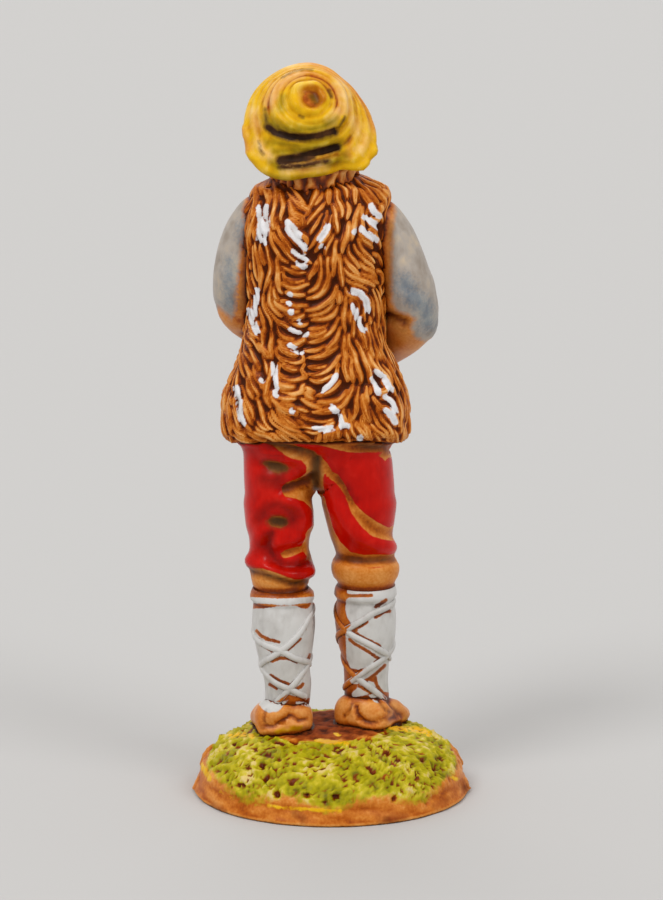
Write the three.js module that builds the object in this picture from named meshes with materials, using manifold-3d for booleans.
// A nativity bagpiper about 100 mm tall, moulded in one piece with the mossy mound that he stands on.
// Millimetres, +Z up. He faces -Y and his fleece-covered back faces +Y.
// The origin is the centre of the mound's flat underside, and his body stands a little to +X of it.
import * as THREE from "three";
import { mergeVertices } from "three/addons/utils/BufferGeometryUtils.js";
import Module from "manifold-3d";

const wasm = await Module();
wasm.setup();

// Mound: an almost round block with a sloping rim and a domed top.
const MOUND = { halfWidth: 19.2, halfDepth: 19.4, rim: 2.6, top: 9.2, sides: 28, rows: 6 };
// The rim leans in to this share of the radius, and the dome over it is this full and round-shouldered.
const DOME = { share: 0.95, fullness: 2.8, shoulder: 0.6 };
// The underside's edge is rounded by this share of the radius, up to this height.
const FOOT_EDGE = { share: 0.985, height: 0.4 };
// Moss stands up and down by this much outside the clear earth round the feet.
const MOSS = { bump: 0.3, clearRadius: 9.5, edge: 3 };

// The person's own tables below have their Y = 0 at this place on the mound.
const STANCE = -1.0;

// Stations of the upright forms: [height, centre x, centre y, half width, half depth].
const PELVIS = [
  [42.0, 1.9, 0.2, 3.2, 4.2],
  [43.8, 2.1, 0.3, 9.6, 6.4],
  [47.0, 2.2, 0.3, 10.7, 7.2],
  [53.0, 2.0, 0.1, 10.4, 7.4],
];
const LEFT_LEG = [
  [10.5, 5.9, 1.6, 3.3, 3.9],
  [12.3, 5.9, 1.9, 3.3, 3.7],
  [15.0, 6.0, 1.9, 3.2, 3.5],
  [17.7, 6.4, 1.7, 3.4, 3.8],
  [20.4, 6.5, 1.5, 3.95, 4.3],
  [24.1, 6.6, 1.2, 4.35, 4.6],
  [26.6, 6.7, 0.9, 4.1, 4.4],
  [27.1, 6.8, 0.8, 4.45, 4.75],
  [27.8, 6.8, 0.7, 4.35, 4.65],
  [28.6, 7.0, 0.6, 3.85, 4.15],
  [30.2, 7.0, 0.4, 4.2, 4.5],
  [31.3, 6.9, 0.3, 4.5, 4.8],
  [34.0, 7.0, 0.1, 3.9, 4.5],
  [37.2, 7.3, 0.1, 4.5, 5.3],
  [42.4, 7.4, 0.2, 4.85, 6.0],
  [48.0, 6.6, 0.3, 4.9, 6.2],
];
const RIGHT_LEG = [
  [10.5, -4.9, -1.0, 3.4, 3.9],
  [12.3, -4.9, -0.6, 3.4, 3.7],
  [15.0, -4.8, -0.5, 3.05, 3.4],
  [17.7, -4.8, -0.6, 3.2, 3.7],
  [20.4, -4.8, -0.7, 3.9, 4.3],
  [24.1, -4.7, -0.8, 4.25, 4.6],
  [26.6, -4.7, -0.9, 3.95, 4.3],
  [27.2, -4.7, -0.9, 4.35, 4.7],
  [28.0, -4.7, -0.9, 4.25, 4.6],
  [28.9, -4.8, -0.9, 3.95, 4.25],
  [29.9, -4.7, -0.9, 4.45, 4.8],
  [31.6, -4.6, -0.9, 4.6, 4.9],
  [33.0, -4.5, -0.9, 3.95, 4.5],
  [35.8, -4.1, -0.6, 4.4, 5.2],
  [40.6, -3.8, -0.2, 5.1, 6.0],
  [48.0, -2.8, 0.3, 5.0, 6.2],
];
const VEST = [
  [48.9, 2.0, -0.2, 12.1, 9.0],
  [50.6, 2.1, -0.2, 12.9, 9.6],
  [55.0, 2.2, -0.2, 12.7, 9.4],
  [59.0, 2.1, -0.1, 11.2, 8.7],
  [63.0, 2.4, 0.0, 9.9, 8.0],
  [67.0, 2.2, 0.1, 9.6, 7.6],
  [72.0, 2.3, 0.2, 9.6, 7.8],
  [77.0, 2.5, 0.2, 9.6, 7.8],
  [80.0, 2.3, 0.1, 9.7, 7.2],
  [82.3, 1.5, 0.0, 9.6, 6.2],
  [83.8, 1.4, -0.1, 9.2, 5.4],
  [84.8, 1.7, -0.2, 7.0, 4.6],
  [85.7, 2.3, -0.3, 5.2, 4.2],
];
const HAIR = [
  [82.5, 2.4, 0.2, 5.0, 4.4],
  [84.0, 2.3, 0.3, 5.5, 4.8],
  [85.6, 2.3, 0.4, 5.8, 5.0],
  [87.2, 2.4, 0.5, 5.9, 5.2],
  [90.0, 2.6, 0.4, 5.7, 5.2],
  [93.5, 2.8, -0.4, 4.6, 4.2],
];

// Fleece: ribs lie across the back at +X of the spine, locks rise slantwise at -X of it, and the rest hang.
const FLEECE = { sides: 44, rows: 24, power: 2.5, depth: 0.56, wave: 0.1 };
const SPINE = { x: 3.7, groove: 0.35, ribs: 4.2, slant: 5.6, from: 53, to: 81 };
// The hem rises this much at the back, and its locks end this unevenly.
const VEST_HEM = { lift: 1.4, ragged: 0.3 };
// The shirt shows between the fleece's front edges, over this half angle.
const OPENING = { halfAngle: 0.38, recess: 0.8 };

// Shoes: heel centre on the mound, the way the toes point (degrees from -Y towards +X), and the sole.
const LEFT_SHOE = { heel: [6.9, 5.4], turn: 8 };
const RIGHT_SHOE = { heel: [-4.9, 2.9], turn: -24 };
const SHOE = { length: 15.2, sole: 8.4, halfWidth: 4.0, height: 5.6, heelReach: 3.9, sides: 10, steps: 9 };
// By share of the shoe's length from the heel: shares of its half width, and its top and underside
// as shares of its height.
const SHOE_PLAN = [[0, 0.2], [0.03, 0.55], [0.12, 0.95], [0.3, 0.94], [0.6, 0.95], [0.8, 0.74], [0.94, 0.34],
  [1, 0.1]];
const SHOE_TOP = [[0, 0.5], [0.05, 0.85], [0.2, 1.0], [0.4, 0.8], [0.65, 0.46], [0.88, 0.2], [1, 0.05]];
const SHOE_UNDERSIDE = [[0, -0.08], [0.1, -0.16], [0.85, -0.26], [1, -0.24]];

// Laces wound round the calves, which cross at the back. The height of each is given by
// degrees round the calf, counted on past a full turn: 90 is its back and 180 is its -X side.
const LEFT_LACES = [
  [[60, 13.1], [100, 15.5], [150, 17.8], [190, 19.0], [270, 18.5], [355, 17.6], [404, 19.0], [444, 20.7],
    [476, 22.6], [510, 25.0], [562, 25.8], [630, 25.0], [700, 23.4], [730, 22.1], [778, 21.2], [804, 20.7],
    [833, 19.6], [872, 18.6], [920, 17.6], [990, 18.0], [1070, 18.2], [1110, 17.2], [1145, 15.9],
    [1178, 15.1], [1207, 14.2], [1230, 13.5]],
];
const RIGHT_LACES = [
  [[-390, 13.4], [-360, 13.9], [-317, 15.3], [-266, 17.5], [-222, 18.9], [-170, 20.2], [-90, 19.6],
    [-20, 18.6], [30, 17.4], [76, 15.7], [107, 14.4], [139, 12.7], [150, 12.2]],
  [[-390, 25.8], [-360, 25.0], [-308, 22.7], [-271, 21.4], [-224, 19.5], [-170, 18.0], [-90, 18.6],
    [-20, 20.0], [0, 21.0], [53, 23.1], [79, 24.3], [108, 25.5], [150, 26.1], [180, 26.3]],
];
const LACE = { halfWidth: 0.75, height: 0.62, sunk: 0.14 };
const CALF_SIDES = 12;

// Folds pulled across the backs of the thighs: depth, how many radians of wave to a millimetre of height,
// how they slant across the leg, and the heights over which they come and go.
const LEFT_FOLDS = { depth: 0.55, wave: 1.05, from: 31.5, slant: 0, low: [31, 34], high: [42, 46] };
const RIGHT_FOLDS = { depth: 0.4, wave: 0.55, from: 33, slant: 2.2, low: [32.5, 35], high: [44, 47] };

// Arms: centre line from the shoulder to the grip on a chanter.
const LEFT_ARM = [[8.8, -0.4, 82.2], [11.3, -0.5, 76.5], [12.2, -0.4, 72.4], [12.4, -0.6, 69.2],
  [12.0, -3.0, 66.8], [10.8, -6.4, 65.0], [8.6, -9.8, 62.4], [6.0, -12.6, 59.4], [2.2, -14.8, 56.0]];
const RIGHT_ARM = [[-5.4, -0.4, 81.6], [-7.9, -0.5, 76.5], [-9.7, -0.3, 71.4], [-11.1, -0.5, 67.6],
  [-10.8, -3.0, 64.9], [-9.3, -6.6, 62.6], [-7.0, -10.0, 60.0], [-4.4, -12.6, 56.8], [-0.9, -14.9, 52.6]];
// Radius of an arm by share of its length: a full sleeve, a cuff and a wrist.
const SLEEVE = [[0, 2.8], [0.15, 3.5], [0.3, 3.8], [0.45, 3.95], [0.6, 3.3], [0.76, 2.9], [0.83, 2.9],
  [0.87, 1.8], [1, 1.6]];
const FIST = { halfLength: 2.7, radius: 2.2, ridge: 0.35, blunt: 0.06 };

// Pipes: chanters and drones leave the stock at the bag's lower end. Profiles are [share of length, radius].
const STOCK = { from: [1.6, -12.6, 64.5], to: [0.9, -14.4, 58.6] };
const CHANTER_ENDS = [[5.4, -14.9, 36.4], [-5.6, -15.1, 35.6]];
const DRONE_ENDS = [[2.0, -15.8, 45.0], [-0.9, -15.8, 47.5]];
const CHANTER_PROFILE = [[0, 1.0], [0.5, 1.1], [0.78, 1.35], [0.92, 2.1], [1, 2.7]];
const DRONE_PROFILE = [[0, 0.8], [0.66, 0.9], [0.78, 1.3], [0.9, 0.95], [1, 1.6]];
const STOCK_PROFILE = [[0, 2.4], [0.2, 2.9], [0.8, 3.1], [1, 2.6]];
const BLOWPIPE = { from: [4.6, -12.2, 76.0], to: [3.0, -7.6, 88.0] };
const BLOWPIPE_PROFILE = [[0, 1.1], [0.3, 0.85], [1, 0.7]];

// Bag: a full skin against the chest, with [share of length, half depth, half width].
const BAG = { from: [1.6, -12.0, 63.2], middle: [3.2, -12.4, 69.5], to: [5.8, -9.4, 80.0] };
const BAG_FORM = [[0, 2.2, 2.4], [0.12, 3.8, 4.6], [0.4, 5.4, 7.4], [0.68, 5.2, 7.0], [0.9, 3.4, 4.2],
  [1, 1.0, 1.2]];

// Head: centre, half sizes, how far it leans back, and how far its mesh is crowded to the front.
const HEAD = { centre: [2.8, -2.1, 90.1], half: [4.9, 5.6, 6.4], lean: 12, crowded: 0.4, sides: 20, rows: 14 };
// Beard, in shares of the half sizes: how thick it is, how much its locks vary, and how far it hangs.
const BEARD = { thick: 0.13, locks: 0.3, hang: 0.34, mouth: [0, -0.4, 1, 0.2, 0.1] };
// Features: [half spacing across, height, reach outwards, width, tallness of the bump], in the same shares:
// nose, its bridge, brows, eye hollows, cheeks and mouth.
const FEATURES = [
  [0, -0.08, 0.26, 0.15, 0.16],
  [0, 0.12, 0.08, 0.1, 0.2],
  [0.3, 0.3, 0.07, 0.22, 0.1],
  [0.3, 0.12, -0.08, 0.15, 0.1],
  [0.42, -0.1, 0.05, 0.2, 0.16],
  [0, -0.4, -0.08, 0.2, 0.08],
];

// Hat: centre of the brim, how far its axis leans back from upright, and its profile of [radius, height].
const HAT = { centre: [2.95, 1.5, 92.8], lean: 55, brim: 8.7, sides: 20 };
const HAT_PROFILE = [[0, 0.9], [4.8, 0.9], [8.2, -0.7], [8.7, -0.2], [8.5, 0.4], [7.0, 2.0], [6.5, 2.3],
  [6.1, 3.2], [5.5, 3.6], [5.2, 4.5], [4.6, 5.3], [3.4, 5.6], [2.6, 5.8], [2.3, 6.4], [1.5, 6.5], [0.9, 5.9],
  [0, 5.7]];
// How far the brim reaches, by degrees round from +X towards the forehead.
const BRIM = [[-180, 8.4], [-150, 9.9], [-135, 10.3], [-118, 8.5], [-90, 8.6], [-69, 9.7], [-50, 10.2],
  [-30, 9.7], [-10, 8.9], [15, 8.6], [50, 8.65], [87, 8.85], [105, 8.5], [130, 7.7], [150, 7.65], [180, 8.4]];

const { cos, sin, sign, abs, sqrt, PI } = Math;
const { clamp, degToRad, smoothstep } = THREE.MathUtils;
const vector = (p) => new THREE.Vector3(...p);

// A repeatable number from -1 to 1 for a pair of whole numbers.
function scatter(i, j) {
  const s = sin(i * 127.1 + j * 311.7) * 43758.5453;
  return 2 * (s - Math.floor(s)) - 1;
}

// The slope at one row of a table, level at a crest or a hollow so that a form never overshoots.
function slope(rows, i, column) {
  const rise = (a, b) => (rows[b][column] - rows[a][column]) / (rows[b][0] - rows[a][0]);
  if (i === 0) return rise(0, 1);
  if (i === rows.length - 1) return rise(i - 1, i);
  const [before, after] = [rise(i - 1, i), rise(i, i + 1)];
  return before * after <= 0 ? 0 : (2 * before * after) / (before + after);
}

// The values of a table at any key: a cubic through its rows.
function between(rows, key) {
  const last = rows.length - 1;
  const at = clamp(key, rows[0][0], rows[last][0]);
  let i = 0;
  while (i < last - 1 && at > rows[i + 1][0]) i++;
  const span = rows[i + 1][0] - rows[i][0];
  const t = (at - rows[i][0]) / span;
  const [a, b] = [(1 + 2 * t) * (1 - t) ** 2, t * (1 - t) ** 2];
  const [c, d] = [t * t * (3 - 2 * t), t * t * (t - 1)];
  return rows[i].slice(1).map((_, k) => a * rows[i][k + 1] + c * rows[i + 1][k + 1]
    + span * (b * slope(rows, i, k + 1) + d * slope(rows, i + 1, k + 1)));
}

// The closed surface over rings with equally many points, with a fan at each end.
function loft(rings) {
  const sides = rings[0].length;
  const ends = [rings[0], rings.at(-1)].map((ring) =>
    ring.reduce((sum, p) => sum.add(p), new THREE.Vector3()).divideScalar(sides));
  const points = [...rings.flat(), ...ends];
  const index = [];
  const top = (rings.length - 1) * sides;
  for (let j = 0; j < sides; j++) {
    const next = (j + 1) % sides;
    for (let i = 0; i < top; i += sides) {
      index.push(i + j, i + next, i + sides + next, i + j, i + sides + next, i + sides + j);
    }
    index.push(top + sides, next, j, top + sides + 1, top + j, top + next);
  }
  return new THREE.BufferGeometry().setFromPoints(points).setIndex(index);
}

// A level ring round a centre: a superellipse that relief(angle) moves outwards.
function levelRing([x, y, halfWidth, halfDepth], z, sides, power = 2, relief = () => 0) {
  return Array.from({ length: sides }, (_, j) => {
    const angle = (2 * PI * j) / sides;
    const [c, s] = [cos(angle), sin(angle)];
    const out = relief(angle);
    return new THREE.Vector3(
      x + halfWidth * sign(c) * abs(c) ** (2 / power) + out * c,
      y + halfDepth * sign(s) * abs(s) ** (2 / power) + out * s,
      z,
    );
  });
}

// An upright form with rings at its stations and halfway between those that are far apart.
function upright(stations, sides, power, relief = () => 0) {
  const heights = [];
  stations.forEach(([z], i) => {
    if (i > 0 && z - stations[i - 1][0] > 1.9) heights.push((z + stations[i - 1][0]) / 2);
    heights.push(z);
  });
  const ring = (z) => levelRing(between(stations, z), z, sides, power, (angle) => relief(angle, z));
  return loft(heights.map(ring));
}

// A form along a smooth line: girth(share of length) gives its two half sizes.
function along(points, girth, steps, sides) {
  const line = new THREE.CatmullRomCurve3(points.map(vector), false, "centripetal");
  const frames = line.computeFrenetFrames(steps);
  return loft(Array.from({ length: steps + 1 }, (_, i) => {
    const [a, b] = girth(i / steps);
    const centre = line.getPointAt(i / steps);
    return Array.from({ length: sides }, (_, j) => {
      const angle = (2 * PI * j) / sides;
      return centre.clone()
        .addScaledVector(frames.normals[i], a * cos(angle))
        .addScaledVector(frames.binormals[i], b * sin(angle));
    });
  }));
}

// A turned form from one point to another, with a profile of [share of length, radius].
function turned(from, to, profile, sides) {
  const [start, end] = [vector(from), vector(to)];
  const length = start.distanceTo(end);
  const outline = profile.map(([share, radius]) => new THREE.Vector2(radius, share * length));
  outline.unshift(new THREE.Vector2(0, 0));
  outline.push(new THREE.Vector2(0, length));
  const turn = new THREE.Quaternion()
    .setFromUnitVectors(new THREE.Vector3(0, 1, 0), end.clone().sub(start).normalize());
  return new THREE.LatheGeometry(outline, sides).applyQuaternion(turn).translate(...from);
}

// A closed geometry as a solid that can be joined to others.
function solid(geometry) {
  for (const name of ["normal", "uv"]) geometry.deleteAttribute(name);
  const { attributes, index } = mergeVertices(geometry, 1e-3);
  const vertProperties = new Float32Array(attributes.position.array);
  const triVerts = new Uint32Array(index.array);
  return new wasm.Manifold(new wasm.Mesh({ numProp: 3, vertProperties, triVerts }));
}

// Height of the mound's dome at a share of the radius of its rim's upper edge.
function moundHeight(share) {
  return MOUND.rim + (MOUND.top - MOUND.rim) * (1 - share ** DOME.fullness) ** DOME.shoulder;
}

// The mound: a flat underside, a sloping rim and a dome that is rough with moss round the feet's clear earth.
function mound() {
  const { halfWidth, halfDepth, sides } = MOUND;
  const ring = (share, z) => levelRing([0, 0, halfWidth * share, halfDepth * share], z, sides);
  const rings = [ring(FOOT_EDGE.share, 0), ring(1, FOOT_EDGE.height), ring(DOME.share, MOUND.rim)];
  for (let i = 1; i < MOUND.rows; i++) {
    const share = cos((i / MOUND.rows) * (PI / 2)) ** 0.8;
    rings.push(ring(share * DOME.share, moundHeight(share)).map((p, j) => {
      const mossy = smoothstep(Math.hypot(p.x, p.y), MOSS.clearRadius, MOSS.clearRadius + MOSS.edge);
      p.z += MOSS.bump * mossy * scatter(i, j);
      return p;
    }));
  }
  return loft(rings);
}

// A leg in breeches above the knee and wrapped cloth below it.
function leg(stations, { depth, wave, from, slant, low, high }) {
  return upright(stations, CALF_SIDES, 2, (angle, z) => {
    const strength = Math.max(0, sin(angle)) * smoothstep(z, ...low) * (1 - smoothstep(z, ...high));
    return depth * strength * sin((z - from) * wave + slant * cos(angle));
  });
}

// A lace with a ridge along its middle, lying on the faces of the calf.
function lace(stations, route) {
  const pitch = 360 / CALF_SIDES;
  const steps = Math.round((route.at(-1)[0] - route[0][0]) / pitch);
  const line = Array.from({ length: steps + 1 }, (_, i) => {
    const degrees = route[0][0] + pitch * i;
    const [z] = between(route, degrees);
    const [x, y, halfWidth, halfDepth] = between(stations, z);
    const out = new THREE.Vector3(cos(degToRad(degrees)), sin(degToRad(degrees)), 0);
    const [reachX, reachY] = [halfWidth - LACE.sunk, halfDepth - LACE.sunk];
    return { p: new THREE.Vector3(x + reachX * out.x, y + reachY * out.y, z), out };
  });
  return loft(line.map(({ p, out }, i) => {
    const ahead = line[Math.min(i + 1, steps)].p.clone().sub(line[Math.max(i - 1, 0)].p);
    const side = out.clone().cross(ahead).normalize();
    return [[LACE.halfWidth, 0], [0, LACE.height], [-LACE.halfWidth, 0]]
      .map(([across, above]) => p.clone().addScaledVector(side, across).addScaledVector(out, above));
  }));
}

// A soft shoe with a round heel, a low waist and a pointed toe, its underside sunk in the earth.
function shoe({ heel, turn }) {
  const rings = Array.from({ length: SHOE.steps + 1 }, (_, i) => {
    const share = (1 - cos((i / SHOE.steps) * PI)) / 2;
    const halfWidth = SHOE.halfWidth * between(SHOE_PLAN, share)[0];
    const low = SHOE.height * between(SHOE_UNDERSIDE, share)[0];
    const high = SHOE.height * between(SHOE_TOP, share)[0];
    return Array.from({ length: SHOE.sides }, (_, j) => {
      const angle = (2 * PI * j) / SHOE.sides;
      const up = sin(angle);
      return new THREE.Vector3(
        halfWidth * cos(angle),
        SHOE.heelReach - SHOE.length * share,
        (low + high) / 2 + ((high - low) / 2) * sign(up) * abs(up) ** 0.8,
      );
    });
  });
  return loft(rings).rotateZ(degToRad(turn)).translate(heel[0], heel[1] - SHOE.heelReach, SHOE.sole);
}

// Whether the surface stands out (1) or lies back (-1) at a row and column of the fleece.
// Faces are split along their rising diagonals, so a chequered stretch becomes slanting ridges.
function lock(i, j, across, level) {
  const spine = level > SPINE.from && level < SPINE.to;
  if (spine && across > 0.3 && across < SPINE.ribs) return i % 2 ? 1 : -1;
  if (spine && across <= 0.3 && across > -SPINE.slant) return (i + j) % 2 ? 1 : -1;
  return j % 2 ? 1 : -1;
}

// The fleece waistcoat, open at the front over the shirt.
function vest() {
  const [low, high] = [VEST[0][0], VEST.at(-1)[0]];
  const front = -PI / 2;
  return loft(Array.from({ length: FLEECE.rows + 1 }, (_, i) => {
    const level = low + (high - low) * (i / FLEECE.rows);
    const [x, y, halfWidth, halfDepth] = between(VEST, level);
    return Array.from({ length: FLEECE.sides }, (_, j) => {
      const plain = (2 * PI * j) / FLEECE.sides;
      const away = abs(Math.atan2(sin(plain - front), cos(plain - front)));
      const fleece = smoothstep(away, OPENING.halfAngle, OPENING.halfAngle + 0.12);
      const angle = plain + FLEECE.wave * fleece * sin(level * 0.75 + 0.4 * scatter(j >> 1, 7));
      const [c, s] = [cos(angle), sin(angle)];
      const across = s > 0 ? x + halfWidth * cos(plain) - SPINE.x : Infinity;
      const fade = 1 - 0.7 * smoothstep(level, 82, 85);
      const locks = (FLEECE.depth / 2) * fade * lock(i, j, across, level);
      const out = fleece * (locks - SPINE.groove * Math.exp(-(across ** 2))) - (1 - fleece) * OPENING.recess;
      const lifted = VEST_HEM.lift * clamp(s, 0, 1) ** 2;
      const hem = clamp(1 - i / 3, 0, 1) * (lifted + VEST_HEM.ragged * fleece * scatter(j, i));
      return new THREE.Vector3(
        x + (halfWidth + out) * sign(c) * abs(c) ** (2 / FLEECE.power),
        y + (halfDepth + out) * sign(s) * abs(s) ** (2 / FLEECE.power),
        level + hem,
      );
    });
  }));
}

// An arm from the shoulder round the elbow to the hand.
function arm(points) {
  return along(points, (share) => {
    const [radius] = between(SLEEVE, share);
    return [radius, radius];
  }, 13, 9);
}

// A fist that closes on a chanter where the arm ends, with a ridge for each finger.
function fist(grip, chanterEnd) {
  const down = vector(chanterEnd).sub(vector(STOCK.to)).normalize();
  const line = [-1, 1].map((end) => vector(grip).addScaledVector(down, end * FIST.halfLength).toArray());
  return along(line, (share) => {
    const finger = FIST.ridge * abs(sin(3 * PI * share));
    const size = FIST.radius * sqrt(sin(PI * clamp(share, FIST.blunt, 1 - FIST.blunt))) + finger;
    return [size, size];
  }, 9, 7);
}

// How far a feature raises the face at a place: a bump on each side of the middle, or one on it.
function feature([spacing, height, reach, width, tall], x, up) {
  return reach * Math.exp(-(((abs(x) - spacing) / width) ** 2) - ((up - height) / tall) ** 2);
}

// The head: an egg with a nose, brows, eye hollows, cheeks, a mouth and a full beard, finer in front.
function head() {
  return loft(Array.from({ length: HEAD.rows - 1 }, (_, i) => {
    const up = -cos((PI * (i + 1)) / HEAD.rows);
    const girth = sqrt(1 - up * up);
    return Array.from({ length: HEAD.sides }, (_, j) => {
      const even = (2 * PI * (j + 0.5)) / HEAD.sides;
      const angle = even - HEAD.crowded * cos(even);
      const [x, forward] = [girth * cos(angle), -girth * sin(angle)];
      const face = smoothstep(forward, 0.15, 0.6);
      const raised = face * FEATURES.reduce((sum, bump) => sum + feature(bump, x, up), 0);
      const bearded = smoothstep(-up, 0.25, 0.6) * smoothstep(forward, -0.2, 0.3);
      const locks = 1 + (j % 2 ? BEARD.locks : -BEARD.locks);
      const beard = BEARD.thick * bearded * locks * (1 - feature(BEARD.mouth, x, up));
      return new THREE.Vector3(
        HEAD.half[0] * (x + beard * cos(angle)) * (1 - 0.1 * smoothstep(-up, 0.2, 1)),
        -HEAD.half[1] * (forward + raised + beard),
        HEAD.half[2] * (up - BEARD.hang * bearded * smoothstep(-up, 0.4, 1)),
      );
    });
  })).rotateX(degToRad(-HEAD.lean)).translate(...HEAD.centre);
}

// The hat: a ringed crown with a dented tip over a soft bell-shaped brim.
function hat() {
  const outline = HAT_PROFILE.map(([radius, height]) => new THREE.Vector2(radius, height));
  const geometry = new THREE.LatheGeometry(outline, HAT.sides).rotateX(PI / 2);
  const position = geometry.attributes.position;
  for (let k = 0; k < position.count; k++) {
    const p = new THREE.Vector3().fromBufferAttribute(position, k);
    const share = smoothstep(Math.hypot(p.x, p.y), 5.4, HAT.brim);
    const [reach] = between(BRIM, Math.atan2(-p.y, p.x) * (180 / PI));
    const stretch = 1 + share * (reach / HAT.brim - 1);
    position.setXYZ(k, p.x * stretch, p.y * stretch, p.z);
  }
  return geometry.rotateX(degToRad(-HAT.lean)).translate(...HAT.centre);
}

// The bag with its stock, chanters, drones and blowpipe.
function bagpipe() {
  return [
    along([BAG.from, BAG.middle, BAG.to], (share) => between(BAG_FORM, share), 8, 12),
    turned(STOCK.from, STOCK.to, STOCK_PROFILE, 10),
    ...CHANTER_ENDS.map((end) => turned(STOCK.to, end, CHANTER_PROFILE, 8)),
    ...DRONE_ENDS.map((end) => turned(STOCK.to, end, DRONE_PROFILE, 6)),
    turned(BLOWPIPE.from, BLOWPIPE.to, BLOWPIPE_PROFILE, 8),
  ];
}

// The hair at the nape and sides, in upright locks.
function hair() {
  return upright(HAIR, 16, 2.2, (angle) => 0.3 * sin(angle * 8));
}

function figurine() {
  const forms = [
    upright(PELVIS, 14, 2.3),
    leg(LEFT_LEG, LEFT_FOLDS),
    leg(RIGHT_LEG, RIGHT_FOLDS),
    ...LEFT_LACES.map((route) => lace(LEFT_LEG, route)),
    ...RIGHT_LACES.map((route) => lace(RIGHT_LEG, route)),
    shoe(LEFT_SHOE),
    shoe(RIGHT_SHOE),
    vest(),
    arm(LEFT_ARM),
    arm(RIGHT_ARM),
    fist(LEFT_ARM.at(-1), CHANTER_ENDS[0]),
    fist(RIGHT_ARM.at(-1), CHANTER_ENDS[1]),
    ...bagpipe(),
    hair(),
    head(),
    hat(),
  ];
  const person = forms.map((form) => solid(form.translate(0, STANCE, 0)));
  const whole = person.reduce((joined, form) => joined.add(form), solid(mound()));
  const { vertProperties, triVerts } = whole.getMesh();
  const geometry = new THREE.BufferGeometry();
  geometry.setAttribute("position", new THREE.BufferAttribute(vertProperties, 3));
  geometry.setIndex(new THREE.BufferAttribute(triVerts, 1));
  geometry.computeVertexNormals();
  return geometry;
}

const PLASTIC = new THREE.MeshStandardMaterial({ color: 0xc98346, roughness: 0.5, metalness: 0 });
const figure = new THREE.Mesh(figurine(), PLASTIC);
figure.name = "bagpiper_figurine";

const santon = new THREE.Group();
santon.add(figure);
export default santon;
